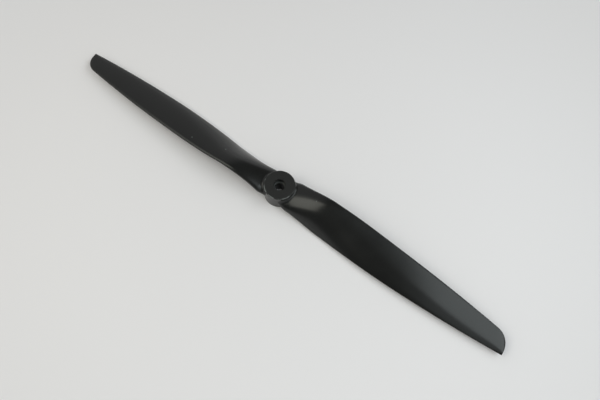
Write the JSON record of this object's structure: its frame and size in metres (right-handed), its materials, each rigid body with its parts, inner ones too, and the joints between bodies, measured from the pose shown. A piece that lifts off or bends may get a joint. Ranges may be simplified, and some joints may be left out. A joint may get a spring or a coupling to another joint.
{
  "type": "model aircraft propeller",
  "caption": "Twin-blade fixed-pitch propeller moulded in one piece, with twisted airfoil blades on a round hub and a stepped shaft bore.",
  "frame": {"origin": "shaft axis at the hub's flat back face", "axes": "+Z along the shaft axis towards the front face, +X along one blade to its tip, that blade's leading edge on the +Y side"},
  "size_m": [0.356, 0.025, 0.0167],
  "materials": {
    "moulded_nylon": "satin black glass-filled nylon"
  },
  "bodies": {
    "root": {"propeller": "moulded_nylon"}
  },
  "joints": []
}
